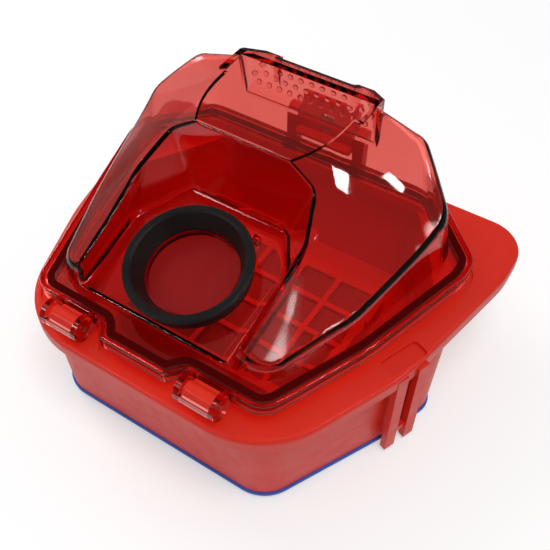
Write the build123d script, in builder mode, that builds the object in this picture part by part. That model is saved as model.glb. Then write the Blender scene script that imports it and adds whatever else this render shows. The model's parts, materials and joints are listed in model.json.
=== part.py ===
from build123d import *
import os
from math import cos, radians, sin

os.makedirs("parts", exist_ok=True)

# Shared thicknesses and clearances, millimetres
wall = 2.5
seat_gap = 0.1
free_gap = 0.3
run_gap = 0.05

# Heights of the base
foot_h = 1.1
frame_z = foot_h + seat_gap
frame_t = 3.2
floor_z = frame_z + frame_t + seat_gap
floor_t = 2.5
deck_z = 67.0
deck_t = 3.0
band_h = 8.0
valley_d = 1.2
band_round = 2.4
pocket_d = 2.0
pocket_w = 9.0
pocket_len = 22.0
pocket_in = 3.4

# Plan of the base, measured from its own middle plane
base_dx = 3.0
flange_front = -106.0
flange_rear = 75.0
flange_corner_x = 70.0
flange_waist = (101.5, -36.0)
flange_ear_x = 117.0
flange_ear_y = 40.0
box_front = -95.5
box_corner_x = 63.0
box_waist = (97.0, -30.0)
box_side = (106.5, -4.0)
box_rear = 64.0
box_rear_x = 60.0
box_draft = 1.5

# Plan of the lid rim
rim_front = -91.5
rim_corner_x = 64.5
rim_waist = (87.0, -41.0)
rim_side_x = 105.0
rim_side_y = 20.0
rim_cut_y = 33.0
rim_rear = 66.5
rim_rear_x = 71.0
left_in = 7.0
tongue_front = -99.0
tongue_half = 18.0
tongue_root = 24.0

# Heights of the lid
skirt_lift = 4.5
rim_h = 7.5
dome_h = 56.6
skirt_z = deck_z + skirt_lift
rim_z = skirt_z + rim_h
rim_t = 3.0
rim_round = 1.6
seal_w = 3.6
seal_h = 4.0
seal_inset = 3.4
shoulder_inset = 9.0
dome_round = 18.0
side_draft = 10.0
top_z = rim_z + dome_h

# Cheeks of the lid: lift above the rim at x = 30 and fall per millimetre, from rear to front
cheek_y = (75.0, 50.0, 25.0, 0.0, -25.0, -50.0, -75.0, -100.0)
cheek_lift = (58.0, 58.9, 59.3, 56.8, 46.0, 32.0, 21.8, 12.0)
cheek_z = [rim_z + lift for lift in cheek_lift]
cheek_fall = (0.0, 0.24, 0.57, 0.74, 0.70, 0.57, 0.54, 0.54)
cheek_crown = 1.2
shoulder_round = 7.0
crease_round = 1.6

# Alcove with the tilted inlet panel
inlet_y = -51.9
inlet_lift = 8.2
inlet_z = rim_z + inlet_lift
inlet_tilt = 13.6
alcove_half = 40.5
alcove_bend_y = -36.0
alcove_low = -9.0
alcove_high = 60.0
alcove_flare = 7.2
alcove_rear = -17.0
alcove_low_bend = (17.0, -49.0)
alcove_high_bend = (44.0, -15.5)
alcove_low_round = 11.0
alcove_high_round = 4.0
alcove_round = 7.0

# Grip lip at the rear of the lid
lip_half = 39.8
lip_lift = 25.0
lip_top_lift = 51.0
lip_z = rim_z + lip_lift
lip_top_z = rim_z + lip_top_lift
lip_rear = 60.5
lip_shoulder = 26.0
notch_half = 22.0
notch_y = 55.6

# Inlet ring and flap
bore_r = 21.5
ring_lip = 1.1
ring_w = 7.9
ring_in_r = bore_r + ring_lip
ring_out_r = ring_in_r + ring_w
ring_h = 10.5
collar_step = 2.0
collar_in_r = ring_in_r + collar_step
collar_t = 1.4
collar_h = 3.5
flap_lap = 2.1
flap_r = bore_r + flap_lap
flap_t = 1.6
flap_pin_r = 1.0
flap_pin_out = 4.9
flap_pin_v = flap_r + flap_pin_out
flap_pin_h = -5.6
flap_arm_half = 11.0
arm_w = 6.0
flap_barrel_r = 2.4
flap_coil_r = 1.7
lug_x = 14.0
lug_t = 3.0

# Hinges
hinge_out = 6.5
hinge_drop = 3.0
hinge_y = rim_front - hinge_out
hinge_z = rim_z - hinge_drop
barrel_r = 4.2
barrel_x = 30.2
barrel_len = 14.8
ear_r = 6.6
ear_t = 2.8
ear_gap = 0.35
hinge_pin_r = 1.5
web_t = 3.0

# Latch
latch_out = 5.9
latch_lift = 9.0
tab_h = 14.0
latch_y = rim_rear + latch_out
latch_z = rim_z + latch_lift
latch_half = 16.8
latch_top = latch_z + tab_h
post_gap = 0.6
post_w = 6.4
post_t = 5.6
post_rise = 4.8
post_top = latch_z + post_rise
nose_gap = 0.4
latch_pin_r = 1.25
spring_r = 1.9
spring_wire = 0.7
spring_half = 3.0

# Fork on the side wall
fork_angle = 22.2
fork_n = 110.2
fork_t = 3.6
fork_z = 2.5
leg_w = 6.2
leg_a = 4.6
leg_b = 17.0

# Filter stack
window_x = 112.0
window_y = 80.0
window_mid_y = -12.0
gasket_w = 3.0
gasket_h = 0.9
media_pitch = 8.0
media_h = 12.0
media_t = 0.9
foam_h = 8.0
cage_t = 2.0
mesh_t = 0.6
foot_r = 5.0
foot_x_front = 48.0
foot_y_front = -86.0
foot_x_rear = 50.0
foot_y_rear = 52.0
bar_t = 1.9
media_z = frame_z + bar_t + seat_gap
foam_z = media_z + media_h + seat_gap
mesh_z = foam_z + foam_h + seat_gap
grid_z = mesh_z + mesh_t + seat_gap


# Outlines drawn once and used by several pieces
def full_outline(points, left_points, radii):
    with BuildSketch() as outline:
        with BuildLine():
            around = points + [(-x, y) for x, y in reversed(left_points)]
            Polyline(around + [around[0]])
        make_face()
        for right_at, left_at, radius in zip(points, left_points, radii):
            for px, py in (right_at, (-left_at[0], left_at[1])):
                corner = [v for v in outline.vertices() if abs(v.X - px) + abs(v.Y - py) < 0.02]
                fillet(corner, radius)
    return outline.sketch


def left_side(points, first, last):
    return [(x - left_in if first <= i <= last else x, y) for i, (x, y) in enumerate(points)]


def inset_points(points, depth):
    line = [(0, points[0][1])] + points + [(0, points[-1][1])]
    moved = []
    for before, here, after in zip(line, line[1:], line[2:]):
        first = (Vector(*here) - Vector(*before)).normalized()
        second = (Vector(*after) - Vector(*here)).normalized()
        lean = 1 + first.dot(second)
        moved.append(
            (
                here[0] - (first.Y + second.Y) * depth / lean,
                here[1] + (first.X + second.X) * depth / lean,
            )
        )
    return moved


flange_points = [
    (flange_corner_x, flange_front),
    flange_waist,
    (flange_ear_x, flange_ear_y),
    (flange_ear_x, flange_rear),
]
flange_plan = full_outline(flange_points, left_side(flange_points, 1, 3), [46.0, 120.0, 60.0, 20.0])
box_points = [(box_corner_x, box_front), box_waist, box_side, (box_rear_x, box_rear)]
box_plan = full_outline(box_points, left_side(box_points, 1, 2), [20.0, 80.0, 12.0, 14.0])
rim_points = [
    (rim_corner_x, rim_front),
    rim_waist,
    (rim_side_x, rim_side_y),
    (rim_side_x, rim_cut_y),
    (rim_rear_x, rim_rear),
]
rim_left = left_side(rim_points, 1, 3)
tongue_points = [(tongue_half, tongue_front), (tongue_root, rim_front)]
rim_plan = full_outline(
    tongue_points + rim_points,
    tongue_points + rim_left,
    [4.0, 4.0, 13.0, 80.0, 30.0, 14.0, 12.0],
)
dome_points = inset_points(rim_points[:2] + rim_points[3:], shoulder_inset)
dome_left = inset_points(rim_left[:2] + rim_left[3:], shoulder_inset)
foot_plan = full_outline(dome_points, dome_left, [dome_round, 80.0, dome_round, dome_round])
foot_in_plan = offset(foot_plan, amount=-wall)
skirt_in_plan = offset(rim_plan, amount=-wall)
seal_out_plan = offset(rim_plan, amount=-seal_inset)
seal_in_plan = offset(rim_plan, amount=-seal_inset - seal_w)
curb_in_plan = offset(rim_plan, amount=-seal_inset - seal_w - 0.2)
valley_plan = offset(rim_plan, amount=1.8)
flange_in_plan = offset(flange_plan, amount=-wall)
box_in_plan = offset(box_plan, amount=-wall)
box_low_plan = offset(box_plan, amount=-0.4)
groove_out_plan = offset(box_plan, amount=-4.0)
groove_in_plan = offset(box_plan, amount=-4.0 - gasket_w)
gasket_out_plan = offset(box_plan, amount=-4.0 - seat_gap)
gasket_in_plan = offset(box_plan, amount=-4.0 - gasket_w + seat_gap)
base_at = Pos(base_dx, 0, 0)
inlet_plane = Plane(
    origin=(0, inlet_y, inlet_z),
    x_dir=(1, 0, 0),
    z_dir=(0, -sin(radians(inlet_tilt)), cos(radians(inlet_tilt))),
)


# Cheek block: everything below one twisted cheek
def cheek_block(drop):
    with BuildPart() as block:
        for y, z, fall in zip(cheek_y, cheek_z, cheek_fall):
            roof = []
            for x in (-130.0, -65.0, 0.0, 40.0, 80.0, 130.0):
                swell = cheek_crown * (0.3 + fall) * (x - 30.0) * (80.0 - x) / 625.0
                roof.append((x, z - fall * (x - 30.0) + swell - drop))
            with BuildSketch(Plane(origin=(0, y, 0), x_dir=(1, 0, 0), z_dir=(0, -1, 0))):
                with BuildLine():
                    Spline(*roof)
                    Polyline(roof[-1], (130, -160), (-130, -160), roof[0])
                make_face()
        loft()
    return block.part


# Alcove block: the space above the tilted panel, inside the arch
def alcove_block(grow, rounding):
    with BuildPart() as block:
        for lift, flare, (bend_x, bend_y), radius in (
            (alcove_low, 0.0, alcove_low_bend, alcove_low_round),
            (alcove_high, alcove_flare, alcove_high_bend, alcove_high_round),
        ):
            side = alcove_half + flare + grow
            rear = alcove_rear + flare + grow
            with BuildSketch(Plane.XY.offset(rim_z + lift)) as arch:
                with BuildLine():
                    Polyline(
                        (-side, -130),
                        (side, -130),
                        (side, bend_y),
                        (bend_x + grow / 2, rear),
                        (-bend_x - grow / 2, rear),
                        (-side, bend_y),
                        (-side, -130),
                    )
                make_face()
                fillet([v for v in arch.vertices() if v.Y > -100], radius + grow)
        loft(ruled=True)
        with BuildSketch(inlet_plane.offset(-grow)):
            Rectangle(260, 260)
        extrude(amount=120, mode=Mode.INTERSECT)
        if rounding > 0:
            panel = min(block.faces(), key=lambda f: inlet_plane.to_local_coords(f.center()).Z)
            fillet([e for e in panel.edges() if (e @ 0.5).Y > -120], rounding)
    return block.part


# Grip lip block: wedge that stands out behind the top strip
def lip_block(inset):
    with BuildPart() as block:
        with BuildSketch(Plane.YZ):
            with BuildLine():
                Polyline(
                    (30, lip_z + 2 * inset),
                    (52.0 - inset, lip_z + 2 * inset),
                    (lip_rear - inset, lip_top_z - inset),
                    (lip_rear - 2.0 - inset, lip_top_z + 1.6 - inset),
                    (48.0 - inset, top_z - inset),
                    (30, top_z - inset),
                    (30, lip_z + 2 * inset),
                )
            make_face()
        extrude(amount=lip_half - inset, both=True)
        with BuildSketch(Plane.XY.offset(80)) as plan:
            with BuildLine():
                Polyline(
                    (-lip_half - 5, 20),
                    (lip_half + 5, 20),
                    (lip_half + 5, 47.0 - inset),
                    (lip_shoulder - inset, lip_rear + 2 - inset),
                    (-lip_shoulder + inset, lip_rear + 2 - inset),
                    (-lip_half - 5, 47.0 - inset),
                    (-lip_half - 5, 20),
                )
            make_face()
            fillet([v for v in plan.vertices() if v.Y > 55], 5.0)
        extrude(amount=80, mode=Mode.INTERSECT)
        with BuildSketch(Plane.XY.offset(110)) as bite:
            with Locations((0, notch_y - inset + 15)):
                RectangleRounded(2 * (notch_half + inset), 30, 3.0)
        extrude(amount=40, mode=Mode.SUBTRACT)
    return block.part


# Dome body before the alcove: tapered wall under two cheeks and a flat strip
def dome_body(plan, inset, rounding):
    lip = lip_block(inset)
    right = cheek_block(inset * 1.2)
    left = mirror(right, about=Plane.YZ)
    with BuildPart() as body:
        with BuildSketch(Plane.XY.offset(rim_z - rim_t - inset)):
            add(plan)
        extrude(amount=top_z - rim_z + rim_t, taper=side_draft)
        add(right, mode=Mode.INTERSECT)
        add(left, mode=Mode.INTERSECT)
        with BuildSketch(Plane.XY.offset(top_z - 40)):
            with Locations((0, alcove_bend_y - 50)):
                Rectangle(2 * alcove_half, 100)
        extrude(amount=50, mode=Mode.SUBTRACT)
        if rounding > 0:
            shoulder = []
            for e in body.edges().filter_by(GeomType.BSPLINE):
                mid = e @ 0.5
                if rim_z < mid.Z < top_z - 1 and (abs(mid.X) > alcove_half + 1 or mid.Y > 40):
                    shoulder.append(e)
            fillet(shoulder, rounding)
        add(lip)
    return body.part


dome_out = dome_body(foot_plan, 0, shoulder_round)
dome_in = dome_body(foot_in_plan, wall, 0)
alcove_out = alcove_block(0, alcove_round)
alcove_in = alcove_block(wall, 0)
cavity = dome_in - alcove_in


# Outer form of the dome with the alcove cut out and its edge rounded
with BuildPart() as dome_form:
    add(dome_out)
    add(alcove_out, mode=Mode.SUBTRACT)
    crease = []
    for e in dome_form.edges().filter_by(GeomType.BSPLINE):
        mid = e @ 0.5
        sides = [f.normal_at(mid) for f in dome_form.faces() if any(s.is_same(e) for s in f.edges())]
        if mid.Y < 0 and abs(mid.X) < alcove_half + 12 and mid.Z > rim_z + 5:
            if len(sides) == 2 and sides[0].get_angle(sides[1]) > 25:
                crease.append(e)
    fillet(crease, crease_round)

# Lid: dome, rim, inlet collar, flap lugs and hinge ears
with BuildPart() as lid_dome:
    with BuildSketch(Plane.XY.offset(skirt_z)):
        add(rim_plan)
    extrude(amount=rim_z - skirt_z)
    fillet(lid_dome.faces().sort_by(Axis.Z)[-1].edges(), rim_round)
    with BuildSketch(Plane.XY.offset(skirt_z)):
        add(skirt_in_plan)
    extrude(amount=rim_z - rim_t - skirt_z, mode=Mode.SUBTRACT)
    add(dome_form.part)
    with BuildSketch(Plane.XY.offset(rim_z - rim_t)):
        add(foot_plan)
    extrude(amount=rim_t - 0.5)
    add(cavity, mode=Mode.SUBTRACT)
    with BuildSketch(inlet_plane):
        Circle(collar_in_r + collar_t)
        Circle(collar_in_r, mode=Mode.SUBTRACT)
    extrude(amount=collar_h)
    with BuildSketch(inlet_plane.offset(-wall - 1)):
        Circle(bore_r)
    extrude(amount=wall + 6, mode=Mode.SUBTRACT)
    lug_plane = Plane(
        origin=inlet_plane.from_local_coords((0, flap_pin_v, 0)),
        x_dir=(0, cos(radians(inlet_tilt)), sin(radians(inlet_tilt))),
        z_dir=(1, 0, 0),
    )
    for side in (-1, 1):
        with BuildSketch(lug_plane.offset(side * (lug_x + lug_t / 2))):
            with Locations((0, flap_pin_h / 2 - wall / 2 + 0.4)):
                Rectangle(6.0, abs(flap_pin_h) - wall + 1.0)
            with Locations((0, flap_pin_h)):
                Circle(3.0)
            with Locations((0, flap_pin_h)):
                Circle(flap_pin_r, mode=Mode.SUBTRACT)
        extrude(amount=lug_t / 2, both=True)
    for side in (-1, 1):
        for edge in (barrel_x - ear_gap - ear_t / 2, barrel_x + barrel_len + ear_gap + ear_t / 2):
            with BuildSketch(Plane.YZ.offset(side * edge)):
                with Locations((hinge_y, hinge_z)):
                    Circle(ear_r)
                with Locations((hinge_y / 2 + rim_front / 2 + 0.5, hinge_z)):
                    Rectangle(rim_front - hinge_y + 1.0, 6.0)
                with Locations((hinge_y, hinge_z)):
                    Circle(hinge_pin_r, mode=Mode.SUBTRACT)
            extrude(amount=ear_t / 2, both=True)
        with BuildSketch(Plane.YZ.offset(side * (barrel_x + barrel_len / 2))):
            with Locations((hinge_y - 5.6, hinge_z + 0.5)):
                Rectangle(1.6, 4.0)
        extrude(amount=barrel_len / 2 + ear_gap + ear_t, both=True)
lid_dome.part.label = "lid_dome"
export_step(lid_dome.part, "parts/lid_dome.step")

# Seal under the lid rim
with BuildPart() as lid_seal:
    with BuildSketch(Plane.XY.offset(rim_z - rim_t - seal_h)):
        add(seal_out_plan)
        add(seal_in_plan, mode=Mode.SUBTRACT)
    extrude(amount=seal_h)
lid_seal.part.label = "lid_seal"
export_step(lid_seal.part, "parts/lid_seal.step")

# Base: flange, box, curb, hinge barrels, latch posts and side fork
with BuildPart() as base_tray:
    with BuildSketch(Plane.XY.offset(deck_z - band_h)):
        add(base_at * flange_plan)
    extrude(amount=band_h)
    fillet(base_tray.faces().sort_by(Axis.Z)[-1].edges(), band_round)
    with BuildSketch(Plane.XY.offset(deck_z - band_h)):
        add(base_at * flange_in_plan)
    extrude(amount=band_h - deck_t, mode=Mode.SUBTRACT)
    with BuildSketch(Plane.XY.offset(floor_z)):
        add(base_at * box_plan)
    extrude(amount=deck_z - deck_t - floor_z, taper=-box_draft)
    with BuildSketch(Plane.XY.offset(floor_z + floor_t)):
        add(base_at * box_in_plan)
    extrude(amount=deck_z - deck_t - floor_z - floor_t, taper=-box_draft, mode=Mode.SUBTRACT)
    with BuildSketch(Plane.XY.offset(deck_z - valley_d)):
        add(valley_plan)
    extrude(amount=valley_d, mode=Mode.SUBTRACT)
    with BuildSketch(Plane.XY.offset(deck_z - valley_d)):
        add(seal_out_plan)
        add(curb_in_plan, mode=Mode.SUBTRACT)
    extrude(amount=rim_z - rim_t - seal_h - free_gap - deck_z + valley_d)
    with BuildSketch(Plane.XY.offset(deck_z - deck_t)):
        add(base_at * box_in_plan)
        add(curb_in_plan, mode=Mode.INTERSECT)
    extrude(amount=deck_t + 20, mode=Mode.SUBTRACT)
    with BuildSketch(Plane.XY.offset(floor_z)):
        with Locations((base_dx, window_mid_y)):
            RectangleRounded(window_x, window_y, 4.0)
    extrude(amount=floor_t, mode=Mode.SUBTRACT)
    for side in (-1, 1):
        with BuildSketch(Plane.YZ.offset(side * (barrel_x + barrel_len / 2))):
            with Locations((hinge_y, hinge_z)):
                Circle(barrel_r)
            with Locations((rim_front - free_gap - web_t / 2, (hinge_z + deck_z - 1) / 2)):
                Rectangle(web_t, hinge_z - deck_z + 1)
            with Locations((hinge_y, hinge_z)):
                Circle(hinge_pin_r + run_gap, mode=Mode.SUBTRACT)
        extrude(amount=barrel_len / 2, both=True)
        with BuildSketch(Plane.YZ.offset(side * (latch_half + post_gap + post_w / 2))):
            with Locations((latch_y, (post_top + deck_z) / 2 - 2.5)):
                Rectangle(post_t, post_top - deck_z + 1)
            with Locations((latch_y, post_top - post_t / 2 - 1.0)):
                Circle(post_t / 2)
            with Locations((latch_y, latch_z)):
                Circle(latch_pin_r, mode=Mode.SUBTRACT)
        extrude(amount=post_w / 2, both=True)
    fork_plane = Plane(
        origin=(0, 0, 0),
        x_dir=(cos(radians(fork_angle)), -sin(radians(fork_angle)), 0),
        z_dir=(0, 0, 1),
    )
    with BuildSketch(fork_plane.offset(fork_z)):
        with Locations((fork_n - fork_t / 2, leg_a), (fork_n - fork_t / 2, leg_b)):
            Rectangle(fork_t, leg_w)
    extrude(amount=deck_z - deck_t - fork_z)
    with BuildSketch(fork_plane.offset(floor_z + 6)):
        with Locations((fork_n - fork_t - 2.5, leg_a), (fork_n - fork_t - 2.5, leg_b)):
            Rectangle(6.0, 2.4)
    extrude(amount=deck_z - deck_t - floor_z - 6)
    with BuildSketch(fork_plane.offset(fork_z + 9)):
        with Locations((fork_n - fork_t / 2 - 0.6, (leg_a + leg_b) / 2)):
            Rectangle(fork_t - 1.2, leg_b - leg_a)
    extrude(amount=4)
    with BuildSketch(fork_plane.offset(deck_z - pocket_d)):
        with Locations((fork_n - pocket_in - pocket_w / 2, (leg_a + leg_b) / 2)):
            RectangleRounded(pocket_w, pocket_len, 2.0)
    extrude(amount=pocket_d, mode=Mode.SUBTRACT)
base_tray.part.label = "base_tray"
export_step(base_tray.part, "parts/base_tray.step")

# Bottom frame with bars across its window
with BuildPart() as filter_frame:
    with BuildSketch(Plane.XY.offset(frame_z)):
        add(base_at * box_low_plan)
        with Locations((base_dx, window_mid_y)):
            RectangleRounded(window_x, window_y, 4.0, mode=Mode.SUBTRACT)
    extrude(amount=frame_t)
    with BuildSketch(Plane.XY.offset(frame_z)):
        with Locations((base_dx, window_mid_y)):
            with GridLocations(window_x / 6, 1, 5, 1):
                Rectangle(2.4, window_y + 2)
            with GridLocations(1, window_y / 3, 1, 2):
                Rectangle(window_x + 2, 2.4)
    extrude(amount=bar_t)
    with BuildSketch(Plane.XY.offset(frame_z + frame_t - gasket_h)):
        add(base_at * groove_out_plan)
        add(base_at * groove_in_plan, mode=Mode.SUBTRACT)
    extrude(amount=gasket_h, mode=Mode.SUBTRACT)
filter_frame.part.label = "filter_frame"
export_step(filter_frame.part, "parts/filter_frame.step")

# Gasket in the groove of the bottom frame
with BuildPart() as filter_gasket:
    with BuildSketch(Plane.XY.offset(frame_z + frame_t - gasket_h)):
        add(base_at * gasket_out_plan)
        add(base_at * gasket_in_plan, mode=Mode.SUBTRACT)
    extrude(amount=gasket_h)
filter_gasket.part.label = "filter_gasket"
export_step(filter_gasket.part, "parts/filter_gasket.step")

# Pleated filter standing on the bars
pleats = int((window_x - 6) // media_pitch)
media_half = pleats * media_pitch / 2
low = media_z + 1.6 * media_t
high = media_z + media_h - 1.6 * media_t
zigzag = []
for i in range(2 * pleats + 1):
    zigzag.append((base_dx - media_half + i * media_pitch / 2, low if i % 2 == 0 else high))
with BuildPart() as filter_media:
    with BuildSketch(Plane.XZ.offset(-window_mid_y)) as fold:
        with BuildLine() as path:
            Polyline(zigzag)
        trace(line_width=media_t)
    extrude(amount=window_y / 2 - 1, both=True)
filter_media.part.label = "filter_media"
export_step(filter_media.part, "parts/filter_media.step")

# Foam pad over the pleats
with BuildPart() as foam_pad:
    with BuildSketch(Plane.XY.offset(foam_z)):
        with Locations((base_dx, window_mid_y)):
            RectangleRounded(window_x + 8 - 2 * cage_t - 1, window_y + 8 - 2 * cage_t - 1, 3.0)
    extrude(amount=foam_h)
foam_pad.part.label = "foam_pad"
export_step(foam_pad.part, "parts/foam_pad.step")

# Fine mesh sheet under the grid
with BuildPart() as screen_mesh:
    with BuildSketch(Plane.XY.offset(mesh_z)):
        with Locations((base_dx, window_mid_y)):
            RectangleRounded(window_x + 8 - 2 * cage_t - 1, window_y + 8 - 2 * cage_t - 1, 3.0)
    extrude(amount=mesh_t)
screen_mesh.part.label = "screen_mesh"
export_step(screen_mesh.part, "parts/screen_mesh.step")

# Screen cage with its top grid
with BuildPart() as screen_frame:
    with BuildSketch(Plane.XY.offset(floor_z + floor_t + seat_gap)):
        with Locations((base_dx, window_mid_y)):
            RectangleRounded(window_x + 8, window_y + 8, 5.0)
            RectangleRounded(window_x + 8 - 2 * cage_t, window_y + 8 - 2 * cage_t, 3.0, mode=Mode.SUBTRACT)
    extrude(amount=grid_z + cage_t - floor_z - floor_t - seat_gap)
    with BuildSketch(Plane.XY.offset(grid_z)):
        with Locations((base_dx, window_mid_y)):
            Rectangle(window_x + 6, window_y + 6)
            with GridLocations(window_x / 5, window_y / 4, 5, 4):
                Rectangle(window_x / 5 - 3, window_y / 4 - 3, mode=Mode.SUBTRACT)
    extrude(amount=cage_t)
screen_frame.part.label = "screen_frame"
export_step(screen_frame.part, "parts/screen_frame.step")

# Rubber inlet ring: lip, grooves, bead and a slot for the collar
ring_plane = Plane(
    origin=inlet_plane.origin,
    x_dir=(1, 0, 0),
    z_dir=(0, -cos(radians(inlet_tilt)), -sin(radians(inlet_tilt))),
)
with BuildPart() as inlet_seal:
    with BuildSketch(ring_plane) as ring_cut:
        with BuildLine():
            Polyline(
                (ring_in_r, 0),
                (collar_in_r - seat_gap, 0),
                (collar_in_r - seat_gap, collar_h + seat_gap),
                (collar_in_r + collar_t + seat_gap, collar_h + seat_gap),
                (collar_in_r + collar_t + seat_gap, 0),
                (ring_out_r - 2.0, 0),
                (ring_out_r - 2.0, 0.26 * ring_h),
                (ring_out_r - 3.3, 0.32 * ring_h),
                (ring_out_r - 3.3, 0.44 * ring_h),
                (ring_out_r - 1.2, 0.50 * ring_h),
                (ring_out_r - 1.2, 0.63 * ring_h),
                (ring_out_r - 2.6, 0.68 * ring_h),
                (ring_out_r - 2.6, 0.73 * ring_h),
                (ring_out_r, 0.78 * ring_h),
                (ring_out_r, 0.93 * ring_h),
                (ring_out_r - 1.0, ring_h),
                (ring_out_r - 3.2, ring_h),
                (ring_out_r - 4.2, 0.93 * ring_h),
                (ring_in_r, 0.14 * ring_h),
                (ring_in_r, 0),
            )
        make_face()
    revolve(axis=Axis(inlet_plane.origin, inlet_plane.z_dir))
inlet_seal.part.label = "inlet_seal"
export_step(inlet_seal.part, "parts/inlet_seal.step")

# Inlet flap with two hinge arms
with BuildPart() as inlet_flap:
    with BuildSketch(inlet_plane.offset(-wall - free_gap - flap_t)):
        Circle(flap_r)
        with Locations((0, flap_pin_v / 2)):
            with GridLocations(2 * flap_arm_half - arm_w, 1, 2, 1):
                Rectangle(arm_w, flap_pin_v)
    extrude(amount=flap_t)
    with BuildSketch(inlet_plane.offset(-wall - free_gap - flap_t)):
        Circle(flap_r - 5)
        Circle(flap_r - 7, mode=Mode.SUBTRACT)
    extrude(amount=-1.2)
    for side in (-1, 1):
        with BuildSketch(lug_plane.offset(side * (flap_arm_half - arm_w / 2))):
            with Locations((0, flap_pin_h)):
                Circle(flap_barrel_r)
            with Locations((0, flap_pin_h)):
                Circle(flap_pin_r + run_gap, mode=Mode.SUBTRACT)
        extrude(amount=arm_w / 2, both=True)
    with BuildSketch(lug_plane):
        with Locations((0, flap_pin_h)):
            Circle(flap_pin_r + run_gap)
    extrude(amount=flap_arm_half + 1, both=True, mode=Mode.SUBTRACT)
inlet_flap.part.label = "inlet_flap"
export_step(inlet_flap.part, "parts/inlet_flap.step")

# Pin of the flap, held in the two lugs
with BuildPart() as flap_pin:
    with BuildSketch(lug_plane):
        with Locations((0, flap_pin_h)):
            Circle(flap_pin_r)
    extrude(amount=lug_x + lug_t, both=True)
flap_pin.part.label = "flap_pin"
export_step(flap_pin.part, "parts/flap_pin.step")

# Coil spring on the flap pin
flap_pin_mid = lug_plane.from_local_coords((0, flap_pin_h, 0))
with BuildPart() as flap_spring:
    with BuildLine() as coil:
        Helix(
            pitch=spring_half / 2,
            height=2 * spring_half,
            radius=flap_coil_r,
            center=flap_pin_mid - Vector(spring_half, 0, 0),
            direction=(1, 0, 0),
        )
    with BuildSketch(Plane(origin=coil.line @ 0, z_dir=coil.line % 0)):
        Rectangle(spring_wire, spring_wire)
    sweep(is_frenet=True)
flap_spring.part.label = "flap_spring"
export_step(flap_spring.part, "parts/flap_spring.step")

# Hinge pins through ears and barrels
pin_len = barrel_len + 2 * ear_gap + 2 * ear_t
with BuildPart() as hinge_pin_right:
    with BuildSketch(Plane.YZ.offset(barrel_x - ear_gap - ear_t)):
        with Locations((hinge_y, hinge_z)):
            Circle(hinge_pin_r)
    extrude(amount=pin_len)
hinge_pin_right.part.label = "hinge_pin_right"
export_step(hinge_pin_right.part, "parts/hinge_pin_right.step")

with BuildPart() as hinge_pin_left:
    with BuildSketch(Plane.YZ.offset(-barrel_x + ear_gap + ear_t)):
        with Locations((hinge_y, hinge_z)):
            Circle(hinge_pin_r)
    extrude(amount=-pin_len)
hinge_pin_left.part.label = "hinge_pin_left"
export_step(hinge_pin_left.part, "parts/hinge_pin_left.step")

# Latch lever between the posts
with BuildPart() as latch_lever:
    with BuildSketch(Plane.YZ):
        with BuildLine():
            Polyline(
                (rim_rear + nose_gap, rim_z + 0.5),
                (rim_rear + nose_gap, rim_z + 2.2),
                (latch_y - 2.2, rim_z + 4.6),
                (latch_y - 2.2, latch_z + 2.0),
                (latch_y + 2.8, latch_top),
                (latch_y + 6.0, latch_top),
                (latch_y + 2.8, latch_z + 1.0),
                (latch_y + 2.2, rim_z + 0.5),
                (rim_rear + nose_gap, rim_z + 0.5),
            )
        make_face()
    extrude(amount=latch_half, both=True)
    fillet(latch_lever.edges().filter_by(Axis.X).sort_by(Axis.Z)[-2:], 1.0)
    with BuildSketch(Plane.XZ.offset(-latch_y)):
        with Locations((0, latch_z)):
            Rectangle(2 * spring_half + 2.4, 9.0)
    extrude(amount=12, both=True, mode=Mode.SUBTRACT)
    with BuildSketch(Plane.YZ):
        with Locations((latch_y, latch_z)):
            Circle(latch_pin_r + run_gap)
    extrude(amount=latch_half + 1, both=True, mode=Mode.SUBTRACT)
latch_lever.part.label = "latch_lever"
export_step(latch_lever.part, "parts/latch_lever.step")

# Latch pin held in the posts
with BuildPart() as latch_pin:
    with BuildSketch(Plane.YZ):
        with Locations((latch_y, latch_z)):
            Circle(latch_pin_r)
    extrude(amount=latch_half + post_gap + post_w, both=True)
latch_pin.part.label = "latch_pin"
export_step(latch_pin.part, "parts/latch_pin.step")

# Coil spring on the latch pin
with BuildPart() as latch_spring:
    with BuildLine() as latch_coil:
        Helix(
            pitch=spring_half / 2,
            height=2 * spring_half,
            radius=spring_r,
            center=(-spring_half, latch_y, latch_z),
            direction=(1, 0, 0),
        )
    with BuildSketch(Plane(origin=latch_coil.line @ 0, z_dir=latch_coil.line % 0)):
        Rectangle(spring_wire, spring_wire)
    sweep(is_frenet=True)
latch_spring.part.label = "latch_spring"
export_step(latch_spring.part, "parts/latch_spring.step")

# Four feet under the bottom frame
for foot_name, foot_x, foot_y in (
    ("foot_front_left", base_dx - foot_x_front, foot_y_front),
    ("foot_front_right", base_dx + foot_x_front, foot_y_front),
    ("foot_rear_left", base_dx - foot_x_rear, foot_y_rear),
    ("foot_rear_right", base_dx + foot_x_rear, foot_y_rear),
):
    with BuildPart() as foot:
        with BuildSketch(Plane.XY):
            with Locations((foot_x, foot_y)):
                Circle(foot_r)
        extrude(amount=foot_h + seat_gap)
        chamfer(foot.edges().group_by(Axis.Z)[0], 0.4)
    foot.part.label = foot_name
    export_step(foot.part, f"parts/{foot_name}.step")
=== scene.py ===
"""Studio scene of a cyclone dust bin: red base, clear red lid, rubber inlet ring and rear latch.

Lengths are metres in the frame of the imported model: X across, Y to the rear, Z up.
"""

import json
import logging
import math
from dataclasses import dataclass
from enum import Enum

import bmesh
import bpy
from mathutils import Matrix, Vector
from mathutils.geometry import convex_hull_2d

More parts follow.
